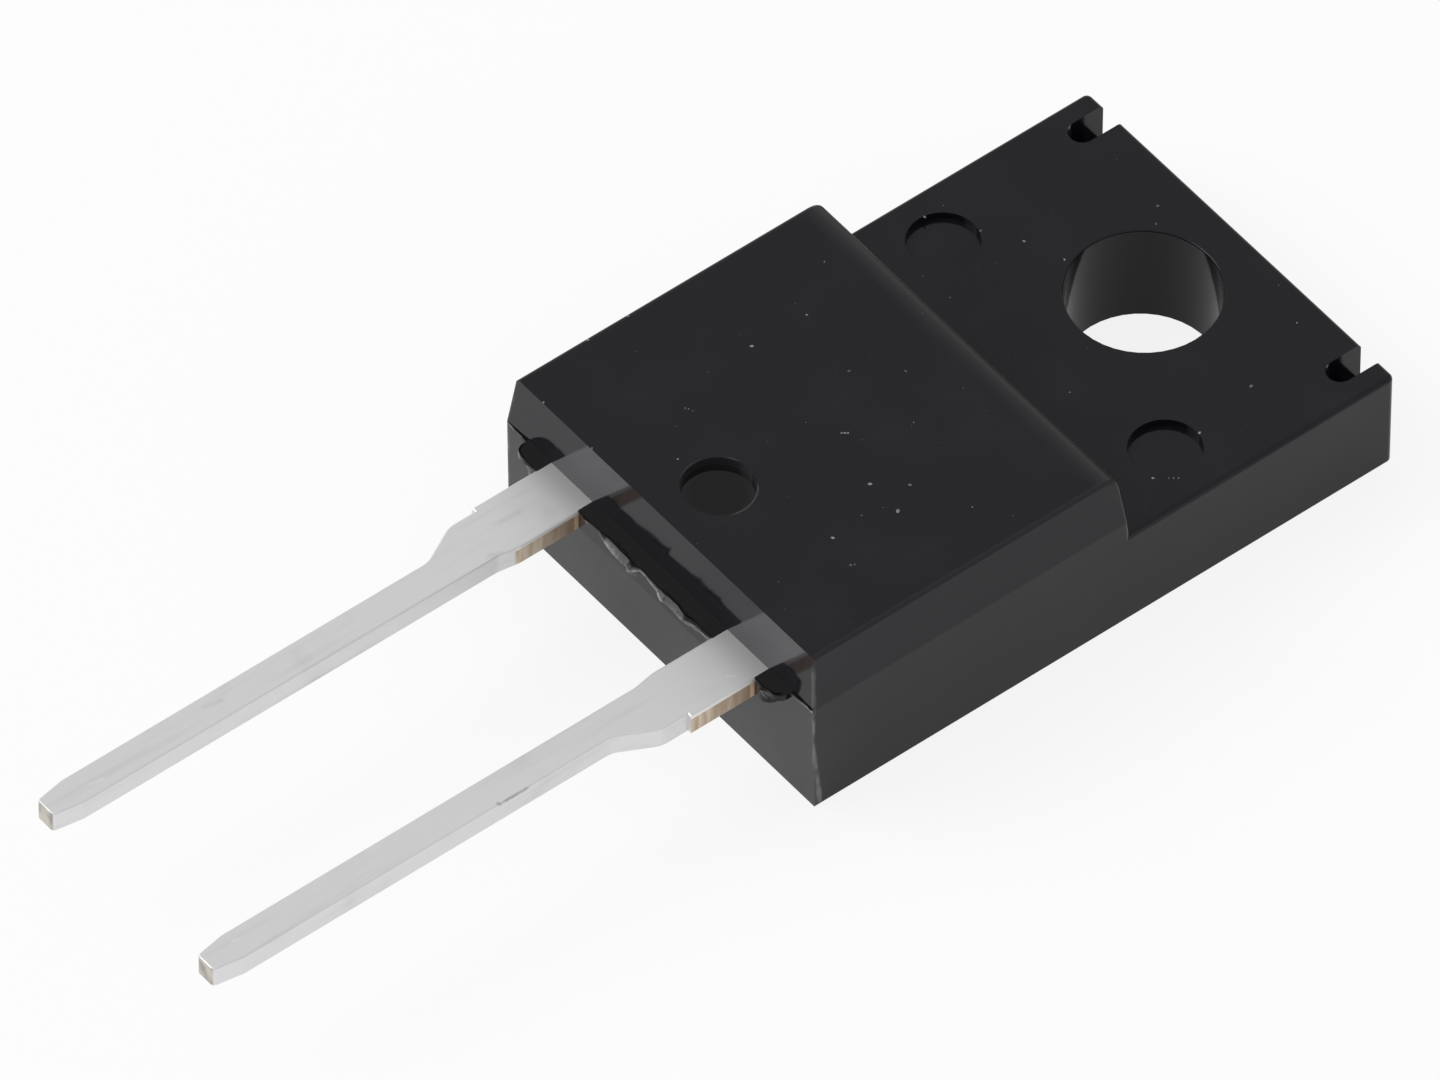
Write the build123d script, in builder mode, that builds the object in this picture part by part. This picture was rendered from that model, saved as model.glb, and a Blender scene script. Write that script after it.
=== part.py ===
from build123d import *
from math import radians, tan
import os

# Power diode in a fully insulated moulded package, with two leads and a tab for one screw.
# Origin: the mounting hole's axis, on the flat back. +Z points out of the marked face,
# +Y runs from the leads to the end of the tab, and X runs across. Millimetres.

# Moulded body
body_width = 9.9  # at the parting line, where the body is widest
body_length = 15.13  # front face to the end of the tab
body_thickness = 4.35  # back to marked face
tab_thickness = 2.55
block_length = 8.22  # front face to the foot of the step down to the tab
parting_height = 3.0  # where the halves of the mould met, level with the top of the leads
upper_draft = 7.0  # degrees, on the side walls above the parting line and on the step
front_upper_draft = 5.0  # degrees, on the front wall above the parting line
front_draft = 1.0  # degrees, on the front wall below the parting line
step_edge_radius = 0.4  # from the marked face into the step
side_edge_radius = 0.1  # along both sides of the marked face and down the corners of the step
tab_edge_radius = 0.12  # round the top of the tab
end_corner_radius = 0.15  # the two upright corners at the end of the tab
back_edge_radius = 0.04  # round the flat back

# Mounting hole
hole_diameter = 3.3
hole_to_end = 2.56  # the hole's axis to the end of the tab
hole_rim_radius = 0.04  # rounding of the upper rim only

# Slots in the end of the tab, where the mould held the frame
slot_width = 0.6
slot_spacing = 8.3  # centre to centre
slot_length = 1.1
slot_depth = 1.1

# Round marks of the mould's ejector pins
pin_mark_diameter = 1.57
block_mark_depth = 0.2
block_mark_setback = 1.5  # behind the front face
tab_mark_depth = 0.16
tab_mark_spacing = 7.16
tab_mark_offset = 2.34  # in front of the hole's axis

# Resin left between and beside the leads, where it had run out to the tie bars
web_length = 0.37  # front face to the broken edge
web_width = 8.56
web_thick_width = 7.9  # the part that is as thick as the leads
web_end_thickness = 0.15
web_corner_radius = 0.25

# Leads
lead_pitch = 5.2
lead_width = 0.75
lead_thickness = 0.5
lead_length = 13.67  # front face to tip
tip_taper = 0.12
tip_taper_length = 0.7
tip_corner_radius = 0.1
lead_edge_radius = 0.04
flare_radius = 0.6  # where the outline widens from the thin lead to the shoulder
shoulder_inside = 0.46  # from a lead's centre line towards the other lead
shoulder_outside = 0.85  # from a lead's centre line away from the other lead
bar_stub = 0.1  # how far the cut tie bar stands out from the outer shoulder
bar_stub_length = 2.02  # front face to the end of the cut
inner_flare_start = 1.9
inner_flare_end = 2.4
outer_taper_start = 2.7
outer_taper_end = 3.6

# Copper inside the body
root_length = 0.85  # how far both leads run straight in
back_insulation = 0.65  # moulding between the die pad and the back
pad_width = 8.0
pad_length = 8.1
pad_thickness = 1.3
pad_setback = 2.1  # front face to the pad's edge
pad_corner_radius = 0.5
pad_joint = 0.3  # how far the bent neck reaches over the pad's edge, to be one with it
post_width = 3.2
post_length = 0.8
post_shift = -0.1  # the post's middle from its lead's centre line, towards the other lead

# Silicon and its joints
die_size = 3.0
die_thickness = 0.25
die_setback = 5.2  # front face to the middle of the die
die_shift = 0.4  # towards the anode
solder_thickness = 0.05
solder_margin = 0.1

# Bond wires
wire_diameter = 0.38
wire_flat = 0.03  # how far a bonded foot is pressed flat
wire_foot = 0.7
wire_loop_height = 3.62  # centre of the wire at the top of its loop
wire_loop_length = 1.0
wire_loop_setback = 2.4  # front face to the near end of the loop's top
wire_post_foot = 0.65
wire_die_spacing = 1.2
wire_post_spacing = 1.4
wire_radii = [0.85, 1.2, 1.4, 1.1]  # bends from the die to the post

# Places that follow from the sizes above
end_y = hole_to_end
front_y = end_y - body_length
step_foot_y = front_y + block_length
step_top_y = step_foot_y - (body_thickness - tab_thickness) * tan(radians(upper_draft))
front_top_y = front_y + (body_thickness - parting_height) * tan(radians(front_upper_draft))
upper_inset = (body_thickness - parting_height) * tan(radians(upper_draft))
lower_inset = parting_height * tan(radians(front_draft))
half_width = body_width / 2
lead_x = lead_pitch / 2
lead_top = parting_height
lead_bottom = lead_top - lead_thickness
pad_front_y = front_y + pad_setback
pad_top = back_insulation + pad_thickness
post_front_y = front_y + root_length
die_y = front_y + die_setback
die_bottom = pad_top + solder_thickness
die_top = die_bottom + die_thickness
post_x = lead_x + post_shift
near = 0.01  # reach of a selector around a named place

os.makedirs("parts", exist_ok=True)


def lead_outline(side):
    """The stamped outline of one lead in plan, from its root inside the body to its tip.

    side is -1 for the cathode and +1 for the anode; both have their wide shoulder outside.
    """
    inner = lead_x - shoulder_inside
    outer = lead_x + shoulder_outside
    thin_inner = lead_x - lead_width / 2
    thin_outer = lead_x + lead_width / 2
    tip_y = front_y - lead_length
    points = [
        (inner, front_y + root_length),
        (inner, front_y - inner_flare_start),
        (thin_inner, front_y - inner_flare_end),
        (thin_inner, tip_y + tip_taper_length),
        (thin_inner + tip_taper, tip_y),
        (thin_outer - tip_taper, tip_y),
        (thin_outer, tip_y + tip_taper_length),
        (thin_outer, front_y - outer_taper_end),
        (outer, front_y - outer_taper_start),
        (outer, front_y - bar_stub_length),
        (outer + bar_stub, front_y - bar_stub_length),
        (outer + bar_stub, front_y + root_length),
    ]
    return [(side * x, y) for x, y in points]


def soft_corners(vertices):
    """The corners of a lead's outline where it widens, which the punch left rounded."""
    setbacks = (inner_flare_start, inner_flare_end, outer_taper_start, outer_taper_end)
    return vertices.filter_by(lambda corner: any(abs(front_y - corner.Y - s) < near for s in setbacks))


def tip_corners(vertices):
    """The two corners at the tip of a lead's outline, which were cut last and are rounded too."""
    return vertices.group_by(Axis.Y)[0]


def rolled_edges(edges):
    """The upper edges of a lead, all but its end inside the body, which the punch rolled over."""
    upper = edges.filter_by_position(Axis.Z, lead_top - near, lead_top + near)
    return upper.filter_by_position(Axis.Y, front_y - lead_length - near, front_y + root_length - near)


# Cathode frame: one stamping, the lead on the left, the neck bent down behind it and the die pad.
with BuildPart() as cathode_frame:
    with BuildSketch(Plane.XY.offset(lead_bottom)):
        with BuildLine():
            Polyline(*lead_outline(-1), close=True)
        outline = make_face()
        fillet(soft_corners(outline.vertices()), flare_radius)
        fillet(tip_corners(vertices()), tip_corner_radius)
    extrude(amount=lead_thickness)
    fillet(rolled_edges(cathode_frame.edges()), lead_edge_radius)
    neck_width = shoulder_inside + shoulder_outside + bar_stub
    with BuildSketch(Plane.YZ.offset(-lead_x + shoulder_inside)):
        with BuildLine():
            Polyline(
                (post_front_y, lead_bottom),
                (post_front_y, lead_top),
                (pad_front_y, pad_top),
                (pad_front_y + pad_joint, pad_top),
                (pad_front_y + pad_joint, pad_top - lead_thickness),
                (pad_front_y, pad_top - lead_thickness),
                close=True,
            )
        make_face()
    extrude(amount=-neck_width)
    with BuildSketch(Plane.XY.offset(back_insulation)):
        with Locations((0, pad_front_y + pad_length / 2)):
            RectangleRounded(pad_width, pad_length, pad_corner_radius)
    extrude(amount=pad_thickness)
cathode_frame.part.label = "cathode_frame"

# Anode lead: the lead on the right, ending inside the body in a wide flat post for the wires.
with BuildPart() as anode_lead:
    with BuildSketch(Plane.XY.offset(lead_bottom)):
        with BuildLine():
            Polyline(*lead_outline(1), close=True)
        outline = make_face()
        fillet(soft_corners(outline.vertices()), flare_radius)
        fillet(tip_corners(vertices()), tip_corner_radius)
    extrude(amount=lead_thickness)
    fillet(rolled_edges(anode_lead.edges()), lead_edge_radius)
    with BuildSketch(Plane.XY.offset(lead_bottom)):
        with Locations((post_x, post_front_y + post_length / 2)):
            Rectangle(post_width, post_length)
    extrude(amount=lead_thickness)
anode_lead.part.label = "anode_lead"

# Solder layer between the die pad and the die.
with BuildPart() as die_solder:
    with BuildSketch(Plane.XY.offset(pad_top)):
        with Locations((die_shift, die_y)):
            Rectangle(die_size + 2 * solder_margin, die_size + 2 * solder_margin)
    extrude(amount=solder_thickness)
die_solder.part.label = "die_solder"

# Silicon die, with its junction facing up.
with BuildPart() as silicon_die:
    with BuildSketch(Plane.XY.offset(die_bottom)):
        with Locations((die_shift, die_y)):
            Rectangle(die_size, die_size)
    extrude(amount=die_thickness)
silicon_die.part.label = "silicon_die"


def bond_wire(name, die_x, foot_x):
    """One aluminium wire from the top of the die, in a loop, down to the anode's post."""
    radius = wire_diameter / 2
    die_foot_z = die_top + radius - wire_flat
    post_foot_z = lead_top + radius - wire_flat
    die_foot_end = die_y + wire_foot / 2
    post_foot_end = post_front_y + (post_length - wire_post_foot) / 2
    run = foot_x - die_x
    loop_near_y = front_y + wire_loop_setback
    loop_far_y = loop_near_y + wire_loop_length
    rise_start = die_foot_end - wire_foot
    fall_end = post_foot_end + wire_post_foot
    span = rise_start - fall_end
    with BuildPart() as wire:
        with BuildLine() as path:
            FilletPolyline(
                (die_x, die_foot_end, die_foot_z),
                (die_x, rise_start, die_foot_z),
                (die_x + run * (rise_start - loop_far_y) / span, loop_far_y, wire_loop_height),
                (die_x + run * (rise_start - loop_near_y) / span, loop_near_y, wire_loop_height),
                (foot_x, fall_end, post_foot_z),
                (foot_x, post_foot_end, post_foot_z),
                radius=wire_radii,
            )
        with BuildSketch(Plane(path.line @ 0, x_dir=(0, 0, 1), z_dir=path.line % 0)):
            Circle(radius)
        sweep()
        with BuildSketch(Plane.XY.offset(die_top)):
            with Locations((die_shift, die_y)):
                Rectangle(die_size, die_size)
        extrude(amount=-wire_diameter, mode=Mode.SUBTRACT)
        with BuildSketch(Plane.XY.offset(lead_top)):
            with Locations((post_x, post_front_y + post_length / 2)):
                Rectangle(post_width, post_length)
        extrude(amount=-wire_diameter, mode=Mode.SUBTRACT)
    wire.part.label = name
    return wire.part


wires = [
    bond_wire("bond_wire_left", die_shift - wire_die_spacing / 2, post_x - wire_post_spacing / 2),
    bond_wire("bond_wire_right", die_shift + wire_die_spacing / 2, post_x + wire_post_spacing / 2),
]

# Moulded body: one shot of black epoxy around all of the above.
with BuildPart() as moulded_body:
    # Side view: flat back, thin tab, step, and walls that lean in from the parting line.
    with BuildSketch(Plane.YZ):
        with BuildLine():
            Polyline(
                (front_y + lower_inset, 0),
                (end_y, 0),
                (end_y, tab_thickness),
                (step_foot_y, tab_thickness),
                (step_top_y, body_thickness),
                (front_top_y, body_thickness),
                (front_y, parting_height),
                close=True,
            )
        make_face()
    extrude(amount=half_width, both=True)
    # Front view: upright below the parting line, leaning in above it.
    with BuildSketch(Plane.XZ.offset(-end_y)):
        with BuildLine():
            Polyline(
                (-half_width, 0),
                (half_width, 0),
                (half_width, parting_height),
                (half_width - upper_inset, body_thickness),
                (upper_inset - half_width, body_thickness),
                (-half_width, parting_height),
                close=True,
            )
        make_face()
    extrude(amount=body_length, mode=Mode.INTERSECT)

    # Roundings of the moulding.
    marked_face = moulded_body.faces().sort_by(Axis.Z)[-1]
    fillet(marked_face.edges().sort_by(Axis.Y)[-1], step_edge_radius)
    above_tab = moulded_body.edges().filter_by_position(Axis.Z, tab_thickness + near, body_thickness + near)
    behind_front = above_tab.filter_by_position(Axis.Y, front_top_y + near, step_foot_y + near)
    flanks = behind_front.filter_by(lambda edge: abs(edge.center().X) > half_width - upper_inset - near)
    fillet(flanks.filter_by(lambda edge: abs(edge.center().Z - parting_height) > near), side_edge_radius)
    end_edges = moulded_body.edges().filter_by_position(Axis.Y, end_y - near, end_y + near)
    fillet(end_edges.filter_by(Axis.Z), end_corner_radius)
    tab_top = moulded_body.faces().filter_by(Axis.Z).sort_by(Axis.Z)[-2]
    tab_rim = tab_top.edges().filter_by_position(Axis.Y, step_foot_y + near, end_y + near)
    fillet(tab_rim, tab_edge_radius)
    fillet(moulded_body.faces().sort_by(Axis.Z)[0].edges(), back_edge_radius)

    # Mounting hole through the tab.
    with BuildSketch(Plane.XY):
        Circle(hole_diameter / 2)
    extrude(amount=tab_thickness, mode=Mode.SUBTRACT)
    tab_circles = moulded_body.edges().filter_by(GeomType.CIRCLE)
    tab_circles = tab_circles.filter_by_position(Axis.Z, tab_thickness - near, tab_thickness + near)
    upper_rim = tab_circles.filter_by(lambda edge: abs(edge.radius - hole_diameter / 2) < near)
    fillet(upper_rim, hole_rim_radius)

    # Two slots, open at the end of the tab and round at their blind end.
    with BuildSketch(Plane.XY.offset(tab_thickness)):
        with GridLocations(slot_spacing, 0, 2, 1):
            with Locations((0, end_y)):
                SlotOverall(2 * slot_length, slot_width, rotation=90)
    extrude(amount=-slot_depth, mode=Mode.SUBTRACT)

    # Ejector-pin marks: one on the block, two on the tab.
    with BuildSketch(Plane.XY.offset(body_thickness)):
        with Locations((0, front_y + block_mark_setback)):
            Circle(pin_mark_diameter / 2)
    extrude(amount=-block_mark_depth, mode=Mode.SUBTRACT)
    with BuildSketch(Plane.XY.offset(tab_thickness)):
        with Locations((0, -tab_mark_offset)):
            with GridLocations(tab_mark_spacing, 0, 2, 1):
                Circle(pin_mark_diameter / 2)
    extrude(amount=-tab_mark_depth, mode=Mode.SUBTRACT)

    # Web of resin at the level of the leads, broken off short of the cut tie bars. It thins at both ends.
    for width, thickness in [(web_width, web_end_thickness), (web_thick_width, lead_thickness)]:
        with BuildSketch(Plane.XY.offset(lead_top)):
            with Locations((0, front_y)):
                RectangleRounded(width, 2 * web_length, web_corner_radius)
        extrude(amount=-thickness)

    # The moulding took the exact shape of everything it encloses.
    for piece in [cathode_frame.part, anode_lead.part, die_solder.part, silicon_die.part, *wires]:
        add(piece, mode=Mode.SUBTRACT)
moulded_body.part.label = "moulded_body"

sealed = [die_solder.part, silicon_die.part, *wires]
for piece in [moulded_body.part, cathode_frame.part, anode_lead.part, *sealed]:
    export_step(piece, f"parts/{piece.label}.step")
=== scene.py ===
from math import radians

import bmesh
import bpy
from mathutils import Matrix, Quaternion, Vector


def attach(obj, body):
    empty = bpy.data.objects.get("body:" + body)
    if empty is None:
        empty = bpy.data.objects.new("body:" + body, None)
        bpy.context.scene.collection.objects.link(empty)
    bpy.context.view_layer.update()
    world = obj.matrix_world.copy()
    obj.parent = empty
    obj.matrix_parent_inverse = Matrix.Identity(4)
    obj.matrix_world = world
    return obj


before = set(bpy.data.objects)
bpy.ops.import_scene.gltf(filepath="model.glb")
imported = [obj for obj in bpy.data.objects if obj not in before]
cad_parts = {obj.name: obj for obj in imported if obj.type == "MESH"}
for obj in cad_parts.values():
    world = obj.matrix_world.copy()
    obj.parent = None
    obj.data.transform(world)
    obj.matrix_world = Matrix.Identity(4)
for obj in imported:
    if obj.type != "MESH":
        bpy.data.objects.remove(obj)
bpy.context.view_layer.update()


# Leads.
# Stamped copper, tinned before the frame was moulded in, so the tin is satin with faint rolling
# streaks. The tie bars were cut off afterwards, and those cut faces show bare copper.
MM = 0.001
TIN = (0.82, 0.82, 0.83, 1)
TIN_DULL = (0.70, 0.70, 0.71, 1)
# Near white, for painted highlights on the tin.
TIN_PAINTED_HIGHLIGHT = (0.97, 0.96, 0.93, 1)
TIN_SCRATCHED = (0.42, 0.42, 0.43, 1)
COPPER_CUT = (0.80, 0.69, 0.56, 1)
COPPER_STAIN = (0.56, 0.44, 0.33, 1)
COPPER_ROOT = (0.52, 0.39, 0.28, 1)
COPPER_BRIGHT = (0.95, 0.72, 0.52, 1)
TIP_DULL = (0.66, 0.63, 0.57, 1)
TIP_DARK = (0.42, 0.40, 0.37, 1)
FRONT_WALL = -12.57 * MM
TIP_END = -26.24 * MM
CUT_START = FRONT_WALL - 2.02 * MM
CUT_END = FRONT_WALL - 0.3 * MM
CUT_TOP = 2.92 * MM
OUTER_CUT = 3.55 * MM
INNER_CUT = 2.14 * MM
CUT_SKIN = 0.012 * MM
CRISP = 0.01 * MM
FINE_LINES = 5200
# Each mark: its place, the turn of its long axis, half its length and width, how strong it is,
# its colour, and how far down the lead's side it reaches. Millimetres and degrees. The marks in
# the near-white colour are painted highlights, glints of small dents; the others are dull
# patches and dark scratches in the tin.
MARKS = [
    ((3.20, -13.28), 53, 0.13, 0.035, 0.80, TIN_PAINTED_HIGHLIGHT, 2.98),
    ((2.97, -18.62), 88, 0.40, 0.030, 0.75, TIN_SCRATCHED, 2.94),
    ((2.95, -19.03), 40, 0.07, 0.050, 0.75, TIN_SCRATCHED, 2.94),
    ((-2.68, -21.9), 80, 0.30, 0.090, 0.60, TIN_DULL, 2.98),
    ((-2.5, -25.0), 80, 0.22, 0.060, 0.35, TIN_PAINTED_HIGHLIGHT, 2.98),
    ((2.5, -25.4), 84, 0.12, 0.060, 0.35, TIN_PAINTED_HIGHLIGHT, 2.98),
    ((-2.9, -14.2), 86, 0.45, 0.090, 0.60, TIN_DULL, 2.98),
    ((-2.28, -15.0), 70, 0.25, 0.090, 0.60, TIN_DULL, 2.98),
]


class Flow:
    """An output of a node in a tree. Sums written on it add Math nodes."""

    def __init__(self, tree, socket=None):
        self.tree = tree
        self.socket = socket

    def node(self, kind, settings=None, sockets=None, output=0):
        """Adds a node: its settings first, then the value or the link of each socket."""
        made = self.tree.nodes.new(kind)
        for name, value in (settings or {}).items():
            setattr(made, name, value)
        for name, value in (sockets or {}).items():
            if isinstance(value, Flow):
                self.tree.links.new(value.socket, made.inputs[name])
            else:
                made.inputs[name].default_value = value
        return Flow(self.tree, made.outputs[output] if made.outputs else None)

    def maths(self, operation, first, second=0.0):
        return self.node("ShaderNodeMath", {"operation": operation}, {0: first, 1: second})

    def vector(self, operation, first, second):
        return self.node("ShaderNodeVectorMath", {"operation": operation}, {0: first, 1: second})

    def __add__(self, other):
        return self.maths("ADD", self, other)

    def __sub__(self, other):
        return self.maths("SUBTRACT", self, other)

    def __rsub__(self, other):
        return self.maths("SUBTRACT", other, self)

    def __mul__(self, other):
        return self.maths("MULTIPLY", self, other)

    def __abs__(self):
        return self.maths("ABSOLUTE", self)

    __radd__ = __add__
    __rmul__ = __mul__

    def larger(self, other):
        return self.maths("MAXIMUM", self, other)

    def length(self):
        return self.node("ShaderNodeVectorMath", {"operation": "LENGTH"}, {0: self}, "Value")

    def axis(self, name):
        return self.node("ShaderNodeSeparateXYZ", {}, {0: self}, name)

    def rise(self, low, high):
        """0 below low, 1 above high and a smooth slope between."""
        smooth = {"interpolation_type": "SMOOTHSTEP"}
        return self.node("ShaderNodeMapRange", smooth, {"Value": self, "From Min": low, "From Max": high})

    def between(self, low, high, soft):
        """1 from low to high, falling to 0 over soft on either side."""
        return self.rise(low - soft, low) * (1 - self.rise(high, high + soft))

    def blend(self, colour, other):
        """One colour where this mask is 0 and the other where it is 1, from the colour sockets of Mix."""
        return self.node("ShaderNodeMix", {"data_type": "RGBA"}, {0: self, 6: colour, 7: other}, 2)

    def noise(self, cells_to_the_metre, detail=2.0):
        sockets = {"Vector": self, "Scale": cells_to_the_metre, "Detail": detail}
        return self.node("ShaderNodeTexNoise", {}, sockets)

    def stretched(self, across, along, up):
        """This place with its axes scaled, for a grain that runs one way."""
        return self.node("ShaderNodeMapping", {}, {"Vector": self, "Scale": (across, along, up)})


def new_finish(name):
    """An empty material and the place of each point on the part, to start its nodes from."""
    material = bpy.data.materials.new(name)
    material.use_nodes = True
    material.node_tree.nodes.clear()
    place = Flow(material.node_tree).node("ShaderNodeTexCoord", output="Object")
    return material, place


def surface(place, sockets):
    """Closes a material with one Principled shader."""
    shader = place.node("ShaderNodeBsdfPrincipled", {}, sockets)
    place.node("ShaderNodeOutputMaterial", {}, {"Surface": shader})


def dress(names, material):
    """Gives solids of the frame a material, and no other."""
    for name in names:
        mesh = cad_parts[name].data
        mesh.materials.clear()
        mesh.materials.append(material)


tin, place = new_finish("tinned_copper")
side = abs(place.axis("X"))
along = place.axis("Y")
up = place.axis("Z")
streaks = place.stretched(1, 0.06, 1).noise(FINE_LINES, 3)
patches = place.noise(620, 3)
dull_and_shade = streaks.rise(0.5, 0.8) * 0.5 + patches.rise(0.55, 0.75) * 0.5
# Near the body the tin takes the dull colour too, a painted shade for the black wall that it mirrors there.
dull_and_shade = dull_and_shade.larger(0.9 * along.rise(FRONT_WALL - 0.9 * MM, FRONT_WALL - 0.1 * MM))
colour = dull_and_shade.blend(TIN, TIN_DULL)

# The faces where the tie bars were cut, and the lip of tin that the shear left on them. The lip
# is painted near white, a painted highlight along its rolled edge.
cut = side.between(OUTER_CUT - CUT_SKIN, OUTER_CUT + CUT_SKIN, CRISP)
cut = cut + side.between(INNER_CUT - CUT_SKIN, INNER_CUT + CUT_SKIN, CRISP)
cut = cut * along.between(CUT_START, CUT_END, 2 * CRISP)
lip = cut * up.rise(CUT_TOP - CRISP, CUT_TOP + CRISP)
cut = cut - lip

# The shear left upright lines on the cut faces, which darken towards the body.
lines = place.stretched(1, 1, 0.12).noise(FINE_LINES, 2)
copper = lines.rise(0.42, 0.68).blend(COPPER_CUT, COPPER_STAIN)
near_body = along.rise(CUT_END - 1.1 * MM, CUT_END - 0.3 * MM)
copper = (near_body * (0.4 + lines)).blend(copper, COPPER_ROOT)
copper = along.between(CUT_END - 0.19 * MM, CUT_END - 0.11 * MM, 2 * CRISP).blend(copper, COPPER_BRIGHT)
colour = cut.blend(colour, copper)
colour = lip.blend(colour, TIN_PAINTED_HIGHLIGHT)

# The tips were cut last and stayed bare and dull.
tip = place.noise(2400, 2).rise(0.4, 0.62).blend(TIP_DULL, TIP_DARK)
colour = (1 - along.rise(TIP_END + CRISP, TIP_END + 3.5 * CRISP)).blend(colour, tip)

for (mark_x, mark_y), turn, half_length, half_width, strength, shade, lowest in MARKS:
    centred = place.vector("SUBTRACT", place, (mark_x * MM, mark_y * MM, 0))
    turned = centred.node("ShaderNodeVectorRotate", {"rotation_type": "Z_AXIS"}, {
        "Vector": centred,
        "Angle": -radians(turn),
    })
    wobble = 0.06 * MM * (place.noise(3500, 2) - 0.5)
    mark = 1 - abs(turned.axis("X")).rise(0.6 * half_length * MM, half_length * MM)
    mark = mark * (1 - abs(turned.axis("Y") + wobble).rise(0.3 * half_width * MM, half_width * MM))
    mark = strength * mark * place.noise(4200, 2).rise(0.25, 0.5)
    colour = (mark * up.rise(lowest * MM - CRISP, lowest * MM)).blend(colour, shade)

scored = place.node("ShaderNodeBump", {}, {
    "Strength": 0.3,
    "Distance": 0.003 * MM,
    "Height": streaks + 0.4 * place.noise(9000),
})
surface(place, {
    "Base Color": colour,
    "Metallic": 1.0,
    "Roughness": 0.44 + 0.14 * patches,
    "Normal": scored,
})
dress(["cathode_frame", "anode_lead"], tin)


# Die, its solder and the bond wires.
# All sealed in the epoxy: a polished silicon die with a metallised top, a thin dull layer of
# solder under it, and drawn aluminium wires bonded to it.
SOLDER_DARK = (0.42, 0.42, 0.43, 1)
SOLDER_PALE = (0.58, 0.58, 0.58, 1)
SILICON_DARK = (0.16, 0.17, 0.20, 1)
SILICON_PALE = (0.20, 0.21, 0.23, 1)
WIRE_DARK = (0.78, 0.78, 0.79, 1)
WIRE_PALE = (0.86, 0.86, 0.86, 1)

solder, place = new_finish("solder")
surface(place, {
    "Base Color": place.noise(3000, 3).blend(SOLDER_DARK, SOLDER_PALE),
    "Metallic": 1.0,
    "Roughness": 0.45 + 0.2 * place.noise(5000),
})
dress(["die_solder"], solder)

silicon, place = new_finish("silicon")
surface(place, {
    "Base Color": place.noise(900, 1).blend(SILICON_DARK, SILICON_PALE),
    "Metallic": 0.8,
    "Roughness": 0.15 + 0.05 * place.noise(4000),
})
dress(["silicon_die"], silicon)

aluminium, place = new_finish("aluminium_wire")
surface(place, {
    "Base Color": place.noise(4000, 2).blend(WIRE_DARK, WIRE_PALE),
    "Metallic": 1.0,
    "Roughness": 0.25 + 0.1 * place.noise(6000),
})
dress(["bond_wire_left", "bond_wire_right"], aluminium)


# Moulded body.
# One shot of black epoxy around the frame. It left a polished mould, so it has a fine satin
# grain and enough gloss to mirror the leads in its front wall.
EPOXY_BLACK = (0.0058, 0.0052, 0.0086, 1)
EPOXY_GREYED = (0.0090, 0.0084, 0.0118, 1)
EPOXY_NEAR_BLACK = (0.0010, 0.0010, 0.0014, 1)
EPOXY_SHADED = (0.0022, 0.0018, 0.0018, 1)
EPOXY_EDGE_SHEEN = (0.0150, 0.0142, 0.0170, 1)
EPOXY_ROLL_OFF_SHEEN = (0.0215, 0.0205, 0.0225, 1)
EPOXY_PIN_RIM_PAINTED_LIGHT = (0.0100, 0.0098, 0.0110, 1)
EPOXY_SCUFFED = (0.024, 0.024, 0.027, 1)
EPOXY_SIDE_PAINTED_LIGHT = (0.050, 0.048, 0.048, 1)
EPOXY_FRONT_PAINTED_LIGHT = (0.044, 0.041, 0.042, 1)
EPOXY_WEAR_AND_HIGHLIGHT = (0.20, 0.195, 0.19, 1)
EPOXY_SPECULAR = 0.27
HALF_WIDTH = 4.95 * MM
STEP_TOP = -4.57 * MM
PARTING = 3.0 * MM
MARKED_FACE = 4.35 * MM
UPPER_SIDE_DRAFT = 0.1228
UPPER_FRONT_DRAFT = 0.0875
LOWER_FRONT_DRAFT = 0.0175
PIN_MARK = (0, -11.07 * MM, MARKED_FACE)
PIN_MARK_RADIUS = 0.785 * MM
PIN_MARK_DEPTH = 0.2 * MM
LEAN_TOP = 1.9 * MM
LEAN_SLOPE = 0.085

epoxy, place = new_finish("black_epoxy")
cloud = place.noise(420, 3)
grain = place.noise(14000, 2)
colour = cloud.rise(0.45, 0.75).blend(EPOXY_BLACK, EPOXY_GREYED)

# How far each point is from the walls, which lean in from the parting line.
height = place.axis("Z")
along = place.axis("Y")
forward = FRONT_WALL - along
above = (height - PARTING).larger(0.0)
under = (PARTING - height).larger(0.0)
to_side = (HALF_WIDTH - UPPER_SIDE_DRAFT * above) - abs(place.axis("X"))
to_front = along - (FRONT_WALL + UPPER_FRONT_DRAFT * above + LOWER_FRONT_DRAFT * under)
to_step = STEP_TOP - along

# The ejector pin's mark in the block has a darker floor. Towards its wall the floor is painted
# lighter, a painted light against the dark wall that the glossy floor mirrors. Its wall is
# scuffed, and a faint ring around the mark is painted paler, a painted highlight for a low
# raised ring.
reach = place.vector("MULTIPLY", place.vector("SUBTRACT", place, PIN_MARK), (1, 1, 0)).length()
sunk = height.between(MARKED_FACE - PIN_MARK_DEPTH - CRISP, MARKED_FACE - 0.5 * CRISP, 0.4 * CRISP)
pin_floor = (1 - reach.rise(0.99 * PIN_MARK_RADIUS, PIN_MARK_RADIUS)) * sunk
pin_floor_colour = reach.rise(0.68 * PIN_MARK_RADIUS, 0.95 * PIN_MARK_RADIUS).blend(EPOXY_NEAR_BLACK, EPOXY_PIN_RIM_PAINTED_LIGHT)
colour = pin_floor.blend(colour, pin_floor_colour)
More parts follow.
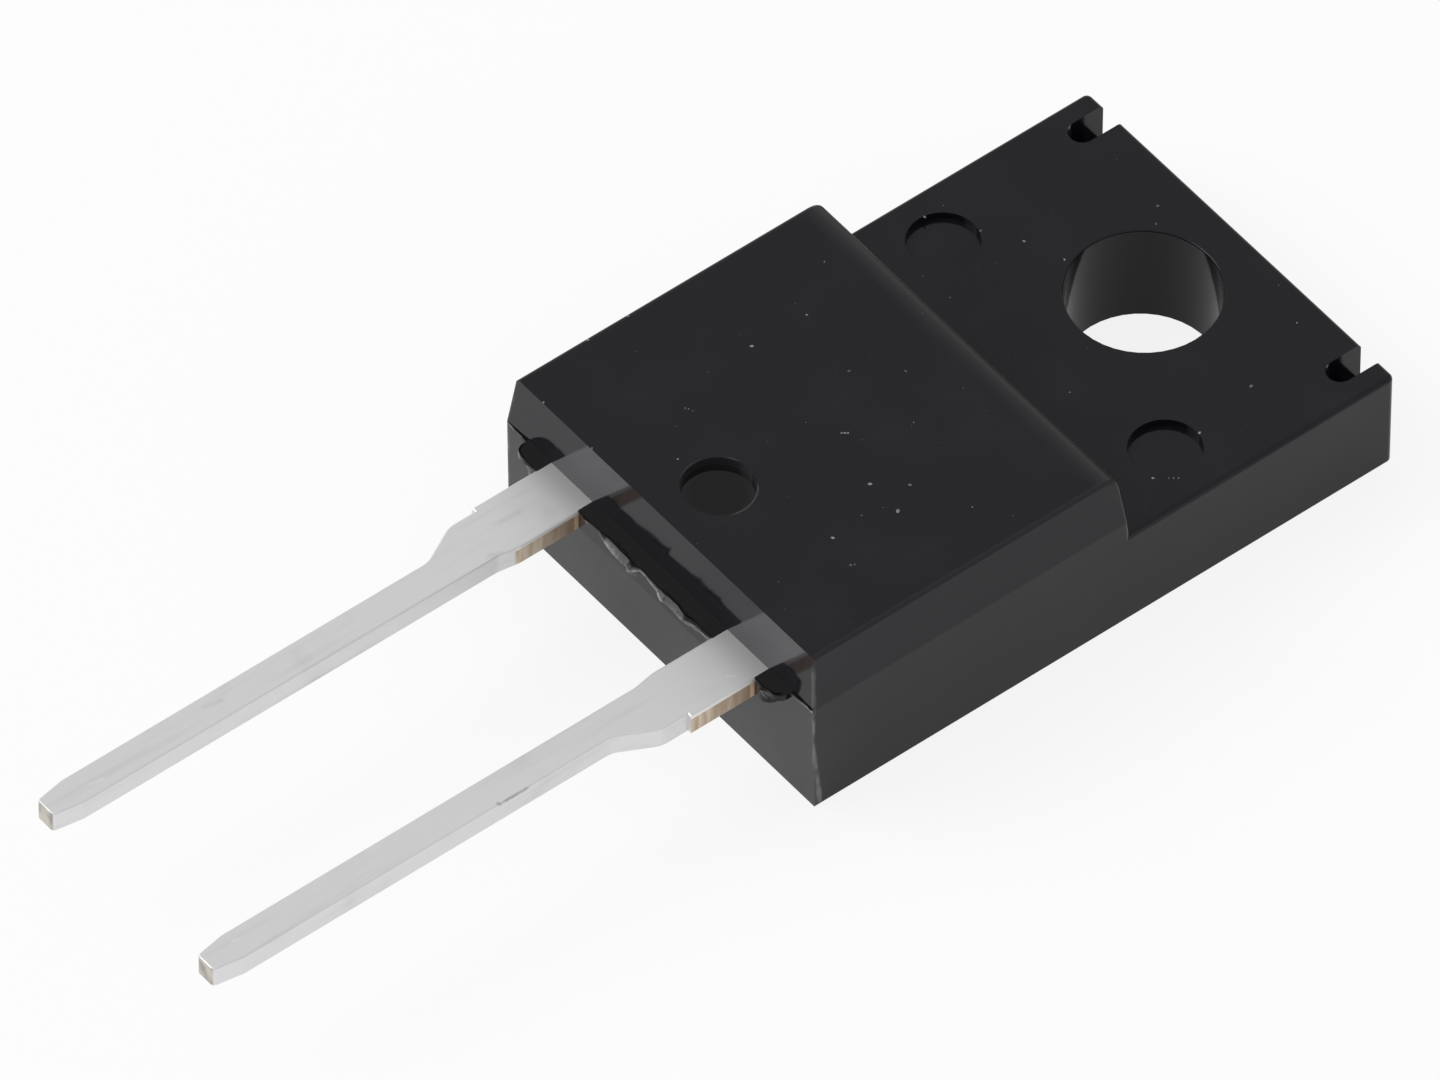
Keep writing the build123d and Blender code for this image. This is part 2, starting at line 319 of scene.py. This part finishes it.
scuffed = reach.between(0.985 * PIN_MARK_RADIUS, 1.003 * PIN_MARK_RADIUS, 0.4 * CRISP) * sunk
colour = scuffed.blend(colour, EPOXY_SCUFFED)
# The ring is a painted highlight: pale where a low raised ring would catch the light.
ring_highlight = reach.between(1.01 * PIN_MARK_RADIUS, 1.03 * PIN_MARK_RADIUS, 2 * CRISP)
ring_highlight = ring_highlight * height.rise(MARKED_FACE - 2 * CRISP, MARKED_FACE) * place.noise(900).rise(0.45, 0.62)
colour = (0.22 * ring_highlight).blend(colour, EPOXY_WEAR_AND_HIGHLIGHT)

# The web between the leads is painted blacker and a little browner than the rest, a painted
# shade for the dark wall above it, which it lies under and mirrors.
colour = forward.rise(0.0, 0.4 * CRISP).blend(colour, EPOXY_SHADED)

# The rounded edges along the marked face are painted a little greyer, a painted sheen for the
# light that the rounding reflects.
rounded_sheen = height.rise(MARKED_FACE - 0.10 * MM, MARKED_FACE - 0.08 * MM)
rounded_sheen = rounded_sheen * (1 - to_side.rise(0.08 * MM, 0.12 * MM))
colour = rounded_sheen.blend(colour, EPOXY_EDGE_SHEEN)

# The block's edge over the step rolls off softly. Up to its crest it is painted greyer, a painted
# sheen that widens the rounding's highlight. Past the crest it is painted black and made matt, a
# painted shade that dims the highlight there.
roll_off_sheen = height.rise(MARKED_FACE - 0.5 * MM, MARKED_FACE - 0.4 * MM)
roll_off_sheen = roll_off_sheen * (1 - to_step.rise(0.20 * MM, 0.66 * MM)) * to_side.rise(CRISP, 6 * CRISP)
colour = roll_off_sheen.blend(colour, EPOXY_ROLL_OFF_SHEEN)
past_crest_shade = roll_off_sheen * (1 - height.rise(MARKED_FACE - 7 * CRISP, MARKED_FACE - CRISP))
colour = past_crest_shade.blend(colour, EPOXY_NEAR_BLACK)

# Below the parting line the front wall is painted paler, most at its foot: painted light for the
# bright floor that it mirrors.
lower_front_light = (0.2 + 0.25 / MM * under) * height.between(0.0, PARTING, 2 * CRISP)
lower_front_light = lower_front_light * (1 - to_front.rise(CRISP, 3 * CRISP)) * (1 - forward.rise(0.0, CRISP))
colour = lower_front_light.blend(colour, EPOXY_FRONT_PAINTED_LIGHT)

# Low down on the right corner of the front wall, the side is painted as pale as the front wall, a
# painted light that makes the corner look as if it leans out towards its foot.
spread = LEAN_SLOPE * (LEAN_TOP - height).larger(0.0) * place.axis("X").rise(0.0, 1.0 * MM)
side_light = (1 - to_front.rise(spread - 3 * CRISP, spread)) * (1 - to_side.rise(CRISP, 2 * CRISP))
colour = (side_light * spread.rise(CRISP, 4 * CRISP)).blend(colour, EPOXY_SIDE_PAINTED_LIGHT)

# Both upright corners of the front wall are worn to a thin pale line, in broken stretches.
worn_width = 0.4 * CRISP + 4 * CRISP * place.noise(2100, 3).rise(0.35, 0.75)
worn = 1 - (to_side.larger(abs(to_front - spread)) - worn_width).rise(0.0, 6 * CRISP)
worn = worn * height.between(0.1 * MM, MARKED_FACE - 0.1 * MM, 0.1 * MM)
worn = worn * (0.12 + 0.6 * place.noise(1500, 2).rise(0.38, 0.62))
worn = worn * (1 - 0.55 * height.rise(PARTING - 10 * CRISP, PARTING + 5 * CRISP))
colour = worn.blend(colour, EPOXY_WEAR_AND_HIGHLIGHT)

grained = place.node("ShaderNodeBump", {}, {
    "Strength": 0.12,
    "Distance": 0.004 * MM,
    "Height": grain + 0.6 * place.noise(2600),
})
surface(place, {
    "Base Color": colour,
    "Roughness": 0.07 + 0.05 * cloud + 0.03 * grain + 0.3 * worn + 0.45 * past_crest_shade,
    "Specular IOR Level": EPOXY_SPECULAR,
    "Normal": grained,
})
dress(["moulded_body"], epoxy)


# Broken resin.
# Where the epoxy ran out between the leads, it was broken off with the tie bars. The break is
# a ragged lip along the front edge of the thin web, and its fresh faces are pale.
RESIN_PALE = (0.50, 0.485, 0.47, 1)
# Each row: across, start of the broken face, its ragged front, and how pale it is there. The
# second and third are distances in front of the wall. Millimetres.
MIDDLE_BREAK = [
    (-2.16, 0.37, 0.39, 0.05), (-1.95, 0.37, 0.41, 0.05), (-1.72, 0.345, 0.385, 0.10),
    (-1.50, 0.335, 0.39, 0.20), (-1.43, 0.32, 0.40, 0.70), (-1.21, 0.25, 0.468, 0.92),
    (-0.97, 0.19, 0.507, 0.82), (-0.75, 0.225, 0.529, 0.80), (-0.60, 0.262, 0.518, 0.55),
    (-0.47, 0.285, 0.522, 0.75), (-0.33, 0.335, 0.585, 0.90), (-0.26, 0.335, 0.50, 0.95),
    (-0.18, 0.303, 0.375, 1.00), (0.04, 0.32, 0.388, 0.90), (0.26, 0.34, 0.409, 0.85),
    (0.42, 0.365, 0.429, 0.85), (0.54, 0.32, 0.49, 1.00), (0.68, 0.277, 0.549, 0.85),
    (0.82, 0.28, 0.52, 0.50), (1.00, 0.275, 0.509, 0.60), (1.22, 0.32, 0.531, 0.70),
    (1.37, 0.36, 0.53, 0.75), (1.49, 0.37, 0.445, 0.40), (1.68, 0.37, 0.425, 0.08),
    (1.89, 0.37, 0.42, 0.05), (2.10, 0.37, 0.41, 0.05), (2.16, 0.37, 0.39, 0.05),
]
RIGHT_BREAK = [
    (3.53, 0.35, 0.385, 0.10), (3.62, 0.35, 0.40, 0.15), (3.72, 0.35, 0.44, 0.70),
    (3.80, 0.35, 0.46, 0.35), (3.86, 0.34, 0.43, 0.15), (3.94, 0.31, 0.385, 0.10),
    (4.05, 0.28, 0.365, 0.10), (4.13, 0.24, 0.34, 0.10), (4.19, 0.10, 0.24, 0.10),
]
LEFT_BREAK = [
    (-4.24, 0.06, 0.18, 0.60), (-4.20, 0.20, 0.31, 0.90), (-4.13, 0.26, 0.36, 0.95),
    (-4.04, 0.29, 0.385, 0.75), (-3.92, 0.33, 0.40, 0.30), (-3.80, 0.35, 0.41, 0.15),
    (-3.70, 0.35, 0.40, 0.10), (-3.53, 0.35, 0.385, 0.10),
]
# The parting line runs to both corners of the front wall as a hair of flash. The hair is painted
# pale on its top as well as at its broken front, a painted light that keeps it grey in the shade
# of the wall.
LEFT_FLASH = [
    (-4.93, 0.002, 0.020, 0.72), (-4.90, 0.002, 0.030, 0.72), (-4.75, 0.002, 0.030, 0.70),
    (-4.50, 0.002, 0.045, 0.64), (-4.30, 0.002, 0.065, 0.52), (-4.20, 0.002, 0.08, 0.40),
]
RIGHT_FLASH = [
    (4.20, 0.002, 0.08, 0.40), (4.30, 0.002, 0.070, 0.50), (4.45, 0.002, 0.055, 0.62),
    (4.65, 0.002, 0.045, 0.68), (4.85, 0.002, 0.040, 0.72), (4.90, 0.002, 0.040, 0.80),
    (4.94, 0.002, 0.035, 1.0),
]
BREAKS = [LEFT_FLASH, LEFT_BREAK, MIDDLE_BREAK, RIGHT_BREAK, RIGHT_FLASH]
WEB_THICK_HALF = 3.9
WEB_CREST = 0.385 * MM
LIP_DEPTH = 0.4 * MM
LIP_DEPTH_AT_ENDS = 0.14 * MM
LIP_FOOT = 0.33 * MM
LIP_THICK = 0.04 * MM
LIP_RAISED = 0.012 * MM
HAIR_RAISED = 0.004 * MM
HAIR_LONGEST = 0.1 * MM
PALE_ATTRIBUTE = "pale"


def lip_row(across, start, front, pale):
    """One section through the lip: a closed loop of (distance from the wall, height, paleness)."""
    start, front = start * MM, front * MM
    thick = abs(across) < WEB_THICK_HALF
    hair = front < HAIR_LONGEST
    deep = LIP_DEPTH if thick else LIP_DEPTH_AT_ENDS
    foot = min(LIP_FOOT, start) if thick else start - 2 * CRISP
    drop = min(7 * CRISP, 0.8 * (front - start))
    crest = min(max(0.5 * (start + front), WEB_CREST), front - CRISP)
    top = PARTING + (HAIR_RAISED if hair else LIP_RAISED)
    loop = [
        (start - 2 * CRISP, PARTING - 3 * CRISP, 0.0),
        (start, PARTING - 0.8 * CRISP, 0.2 * pale),
        # A hair of flash is painted as pale on top as at its front, a painted light against the wall's
        # shade.
        (crest, top, pale if hair else 0.42 * pale),
        (front, PARTING - drop, pale),
        (front - 2 * CRISP, PARTING - drop - LIP_THICK, 0.7 * pale),
        (foot, PARTING - deep, 0.1),
        (foot - 3 * CRISP, PARTING - deep + 5 * CRISP, 0.0),
    ]
    return [((across * MM, FRONT_WALL - away, level), shade) for away, level, shade in loop]


def lip_cage(name, breaks):
    """The closed coarse lips, with the paleness of each corner in an attribute."""
    corners, faces, shades = [], [], []
    for rows in breaks:
        first = len(corners)
        for row in rows:
            for corner, shade in lip_row(*row):
                corners.append(corner)
                shades.append(shade)
        size = len(lip_row(*rows[0]))
        for step in range(len(rows) - 1):
            for index in range(size):
                near, far = first + step * size, first + (step + 1) * size
                beside = (index + 1) % size
                faces.append((near + index, near + beside, far + beside, far + index))
        faces.append(tuple(first + index for index in reversed(range(size))))
        faces.append(tuple(first + (len(rows) - 1) * size + index for index in range(size)))
    mesh = bpy.data.meshes.new(name)
    mesh.from_pydata(corners, [], faces)
    pale = mesh.attributes.new(PALE_ATTRIBUTE, "FLOAT", "POINT")
    pale.data.foreach_set("value", shades)
    shape = bmesh.new()
    shape.from_mesh(mesh)
    bmesh.ops.recalc_face_normals(shape, faces=shape.faces)
    shape.to_mesh(mesh)
    shape.free()
    return mesh


def new_tree(name, inputs):
    """An empty Geometry Nodes tree with named inputs: (name, kind of socket) for each."""
    tree = bpy.data.node_groups.new(name, "GeometryNodeTree")
    for label, kind in [("Geometry", "NodeSocketGeometry"), *inputs]:
        tree.interface.new_socket(label, in_out="INPUT", socket_type=kind)
    tree.interface.new_socket("Geometry", in_out="OUTPUT", socket_type="NodeSocketGeometry")
    return Flow(tree)


def given(flow, label):
    """An input of the tree, by its name."""
    return flow.node("NodeGroupInput", output=label)


def close_tree(flow, geometry):
    """Ends a tree: its instances made real, in the material that it was given."""
    joined = flow.node("GeometryNodeRealizeInstances", {}, {"Geometry": geometry})
    finished = flow.node("GeometryNodeSetMaterial", {}, {
        "Geometry": joined,
        "Material": given(flow, "Finish"),
    })
    flow.node("NodeGroupOutput", {}, {"Geometry": finished})


def grow(name, mesh, tree, values):
    """Runs a tree on a mesh with the values of its inputs, and returns the result as one plain mesh."""
    piece = bpy.data.objects.new(name, mesh)
    bpy.context.collection.objects.link(piece)
    nodes = piece.modifiers.new("nodes", "NODES")
    nodes.node_group = tree
    for item in tree.interface.items_tree:
        if item.in_out == "INPUT" and item.name in values:
            nodes[item.identifier] = values[item.name]
    depsgraph = bpy.context.evaluated_depsgraph_get()
    grown = bpy.data.meshes.new_from_object(piece.evaluated_get(depsgraph), depsgraph=depsgraph)
    grown.name = name
    piece.modifiers.remove(nodes)
    piece.data = grown
    return piece


resin, place = new_finish("broken_resin")
pale = place.node("ShaderNodeAttribute", {"attribute_name": PALE_ATTRIBUTE}, output="Fac")
pale = pale * (0.55 + 0.9 * place.noise(9000, 3))
pale = pale * pale
surface(place, {
    "Base Color": (pale * pale).blend(EPOXY_SHADED, RESIN_PALE),
    "Roughness": 0.12 + 0.4 * pale,
    "Specular IOR Level": EPOXY_SPECULAR,
})

flow = new_tree("ragged_break", [
    ("Levels", "NodeSocketInt"), ("Raggedness", "NodeSocketFloat"), ("Fineness", "NodeSocketFloat"),
    ("Seed", "NodeSocketFloat"), ("Finish", "NodeSocketMaterial"),
])
split = flow.node("GeometryNodeSubdivideMesh", {}, {
    "Mesh": given(flow, "Geometry"),
    "Level": given(flow, "Levels"),
})
jitter = flow.node("ShaderNodeTexNoise", {"noise_dimensions": "4D"}, {
    "Vector": flow.node("GeometryNodeInputPosition"),
    "Scale": given(flow, "Fineness"),
    "Detail": 2.0,
    "W": given(flow, "Seed"),
}, "Color")
jitter = flow.vector("MULTIPLY", flow.vector("SUBTRACT", jitter, (0.5, 0.5, 0.5)), (0.6, 1.0, 0.3))
jitter = flow.vector("MULTIPLY", jitter, given(flow, "Raggedness"))
close_tree(flow, flow.node("GeometryNodeSetPosition", {}, {"Geometry": split, "Offset": jitter}))

web_break = grow("web_break", lip_cage("web_break_cage", BREAKS), flow.tree, {
    "Levels": 2, "Raggedness": 0.045 * MM, "Fineness": 5200.0, "Seed": 4.0, "Finish": resin,
})
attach(web_break, "root")


# Dust, and painted glints.
# Pale specks of dust and lint that settled on the upward faces of the body, most of them too
# small to notice. The tips of its edges carry a few chipped specks of the same size. A few pale
# specks on the rims of the tab's pin marks are painted highlights, glints on those rims.
PALE_DUST_AND_GLINT = (0.30, 0.30, 0.31, 1)
DUST_GREY = (0.10, 0.10, 0.11, 1)
DUST_ATTRIBUTE = "speck"
TAB_FACE = 2.55 * MM
FLAKE_LONG = 1.25
FLAKE_WIDE = 0.8
FLAKE_THICK = 0.25
FACE_TOLERANCE = 0.002 * MM
MERGE_DISTANCE = 0.0005 * MM
# Each speck: across, along, radius. Millimetres.
BLOCK_SPECKS = [
    (2.75, -8.64, 0.055), (1.84, -8.63, 0.045), (2.36, -8.01, 0.040), (0.42, -8.22, 0.022),
    (0.46, -8.17, 0.028), (0.50, -8.12, 0.024), (2.39, -9.29, 0.022), (2.50, -10.12, 0.038),
    (3.29, -10.29, 0.034), (3.33, -10.22, 0.024), (-1.08, -11.25, 0.022), (-2.53, -8.18, 0.040),
    (-2.50, -6.78, 0.026), (-2.06, -10.28, 0.024), (-2.00, -10.24, 0.024), (-1.91, -10.20, 0.018),
    (-0.08, -6.16, 0.030), (-0.79, -7.06, 0.032), (-4.72, -10.68, 0.036), (-4.72, -9.64, 0.036),
    (-2.38, -12.43, 0.034), (-3.95, -12.43, 0.028), (1.1, -6.9, 0.018), (3.6, -7.4, 0.016),
    (-3.4, -5.6, 0.018),
]
# The specks at (-4.33, -2.22), (-3.33, -1.56) and (3.68, -1.53) are painted highlights on the rims of the
# tab's pin marks.
TAB_SPECKS_AND_GLINTS = [
    (3.35, 0.09, 0.042), (-2.56, -1.05, 0.030), (-1.62, 1.69, 0.034), (4.04, -3.04, 0.032),
    (4.24, -2.79, 0.022), (4.30, -2.71, 0.026), (4.36, -2.63, 0.020), (-3.33, -1.56, 0.030),
    (-4.33, -2.22, 0.034), (3.68, -1.53, 0.034), (-1.26, 1.35, 0.028), (-1.66, -0.72, 0.028),
    (-2.3, -3.2, 0.018), (1.2, -2.9, 0.016), (2.6, 1.9, 0.018),
]


def stays_clean(face):
    """Whether dust can't lie on a face: it is neither the marked face nor the top of the tab."""
    middle = face.calc_center_median()
    return all(abs(middle.z - level) > FACE_TOLERANCE for level in (MARKED_FACE, TAB_FACE))


def flakes(flow, points, radius, selection=True):
    """Flat flakes on points, a little longer than wide and sunk to their middle."""
    flake = flow.node("GeometryNodeMeshIcoSphere", {}, {"Radius": 1.0, "Subdivisions": 1})
    turn = flow.node("FunctionNodeRandomValue", {"data_type": "FLOAT_VECTOR"}, {
        0: (0.0, 0.0, 0.0), 1: (0.1, 0.1, 6.28), "Seed": given(flow, "Seed"),
    })
    scale = flow.node("ShaderNodeCombineXYZ", {}, {
        "X": radius * FLAKE_LONG,
        "Y": radius * FLAKE_WIDE,
        "Z": radius * FLAKE_THICK,
    })
    return flow.node("GeometryNodeInstanceOnPoints", {}, {
        "Points": points, "Selection": selection, "Instance": flake, "Rotation": turn, "Scale": scale,
    })


dust_and_glint_finish, place = new_finish("settled_dust_and_glints")
surface(place, {
    "Base Color": place.noise(2600, 1).rise(0.4, 0.6).blend(DUST_GREY, PALE_DUST_AND_GLINT),
    "Roughness": 0.8 + 0.1 * place.noise(20000),
})

# The upward faces of the body, with a loose corner for each speck that can be noticed.
dusty = bmesh.new()
dusty.from_mesh(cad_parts["moulded_body"].data)
bmesh.ops.remove_doubles(dusty, verts=dusty.verts, dist=MERGE_DISTANCE)
dusty.normal_update()
bmesh.ops.delete(dusty, geom=[face for face in dusty.faces if stays_clean(face)], context="FACES")
bmesh.ops.delete(dusty, geom=[corner for corner in dusty.verts if not corner.link_faces], context="VERTS")
radius_layer = dusty.verts.layers.float.new(DUST_ATTRIBUTE)
for specks, level in [(BLOCK_SPECKS, MARKED_FACE), (TAB_SPECKS_AND_GLINTS, TAB_FACE)]:
    for speck_x, speck_y, radius in specks:
        dusty.verts.new((speck_x * MM, speck_y * MM, level))[radius_layer] = radius * MM
dusty_faces = bpy.data.meshes.new("dusty_faces")
dusty.to_mesh(dusty_faces)
dusty.free()

flow = new_tree("settled_dust_and_glints", [
    ("Specks to the square metre", "NodeSocketFloat"), ("Smallest", "NodeSocketFloat"),
    ("Largest", "NodeSocketFloat"), ("Seed", "NodeSocketInt"), ("Finish", "NodeSocketMaterial"),
])
scattered = flow.node("GeometryNodeDistributePointsOnFaces", {}, {
    "Mesh": given(flow, "Geometry"),
    "Density": given(flow, "Specks to the square metre"),
    "Seed": given(flow, "Seed"),
})
size = flow.node("FunctionNodeRandomValue", {"data_type": "FLOAT"}, {
    2: given(flow, "Smallest"), 3: given(flow, "Largest"), "Seed": given(flow, "Seed"),
}, 1)
own_size = flow.node("GeometryNodeInputNamedAttribute", {"data_type": "FLOAT"}, {"Name": DUST_ATTRIBUTE})
is_speck = flow.node("FunctionNodeCompare", {"data_type": "FLOAT", "operation": "GREATER_THAN"}, {
    0: own_size, 1: 0.0,
})
loose = flow.node("GeometryNodeMeshToPoints", {}, {"Mesh": given(flow, "Geometry"), "Selection": is_speck})
both = flow.node("GeometryNodeJoinGeometry")
for layer in [flakes(flow, scattered, size), flakes(flow, loose, own_size)]:
    flow.tree.links.new(layer.socket, both.socket.node.inputs["Geometry"])
close_tree(flow, both)

dust_specks_and_glints = grow("dust_specks_and_glints", dusty_faces, flow.tree, {
    "Specks to the square metre": 0.6e6, "Smallest": 0.003 * MM, "Largest": 0.010 * MM,
    "Seed": 7, "Finish": dust_and_glint_finish,
})
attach(dust_specks_and_glints, "root")


# Table.
# A plain pale sheet that the part lies on. It is seen from above only, so that the part's flat
# back can be looked at from below.
TABLE_HALF = 2.0
TABLE_TOP = -0.005 * MM
PAPER_WHITE = (0.93, 0.93, 0.93, 1)
WHITE = (1, 1, 1, 1)
WHITE_SEEN = 0.85
WHITE_REFLECTED = 0.5
table_mesh = bpy.data.meshes.new("table")
around = [(-1, -1), (1, -1), (1, 1), (-1, 1)]
table_mesh.from_pydata([(x * TABLE_HALF, y * TABLE_HALF, TABLE_TOP) for x, y in around], [], [(0, 1, 2, 3)])
table = bpy.data.objects.new("table", table_mesh)
bpy.context.collection.objects.link(table)

paper, place = new_finish("table_paper")
seen = place.node("ShaderNodeLightPath", output="Is Camera Ray")
glossy = place.node("ShaderNodeLightPath", output="Is Glossy Ray")
through = place.node("ShaderNodeLightPath", output="Is Transmission Ray")
shown = WHITE_SEEN * seen + WHITE_REFLECTED * (glossy + through)
diffuse = place.node("ShaderNodeBsdfDiffuse", {}, {"Color": PAPER_WHITE})
white = place.node("ShaderNodeEmission", {}, {"Color": WHITE, "Strength": 1.0})
sheet = place.node("ShaderNodeMixShader", {}, {0: shown, 1: diffuse, 2: white})
clear = place.node("ShaderNodeBsdfTransparent")
below = place.node("ShaderNodeNewGeometry", output="Backfacing")
sheet = place.node("ShaderNodeMixShader", {}, {0: below, 1: sheet, 2: clear})
place.node("ShaderNodeOutputMaterial", {}, {"Surface": sheet})
table_mesh.materials.append(paper)


# Light.
# A white room with one wide soft lamp above and to the left of the leads, at a plain level.
LAMP_PLACE = 0.72 * Vector((-0.51, -0.55, 0.66))
LAMP_SIZE = 0.45
LAMP_POWER = 2.2
ROOM_LIGHT = 0.65
world = bpy.data.worlds.new("room")
bpy.context.scene.world = world
world.use_nodes = True
world.node_tree.nodes.clear()
room = Flow(world.node_tree)
seen = room.node("ShaderNodeLightPath", output="Is Camera Ray")
air = room.node("ShaderNodeBackground", {}, {
    "Color": WHITE,
    "Strength": ROOM_LIGHT + (1 - ROOM_LIGHT) * seen,
})
room.node("ShaderNodeOutputWorld", {}, {"Surface": air})

lamp_data = bpy.data.lights.new("soft_lamp", "AREA")
lamp_data.size = LAMP_SIZE
lamp_data.energy = LAMP_POWER
lamp = bpy.data.objects.new("soft_lamp", lamp_data)
lamp.location = LAMP_PLACE
lamp.rotation_mode = "QUATERNION"
lamp.rotation_quaternion = (-LAMP_PLACE).to_track_quat("-Z", "Y")
bpy.context.collection.objects.link(lamp)


# Camera.
# It stands well back and to the right of the leads, looks down at 49 degrees, and sees the part
# nearly without perspective.
AIM = Vector((-0.459, -10.640, 2.0)) * MM
EYE = Vector((347.498, -292.837, 514.008)) * MM
ROLL = radians(0.55)
camera_data = bpy.data.cameras.new("camera")
camera_data.lens = 842
camera_data.sensor_width = 36
camera_data.clip_start = 0.05
camera_data.clip_end = 20
camera = bpy.data.objects.new("camera", camera_data)
camera.location = EYE
camera.rotation_mode = "QUATERNION"
camera.rotation_quaternion = (AIM - EYE).to_track_quat("-Z", "Y") @ Quaternion((0, 0, 1), ROLL)
bpy.context.collection.objects.link(camera)
bpy.context.scene.camera = camera

bpy.context.scene.view_settings.view_transform = "Standard"
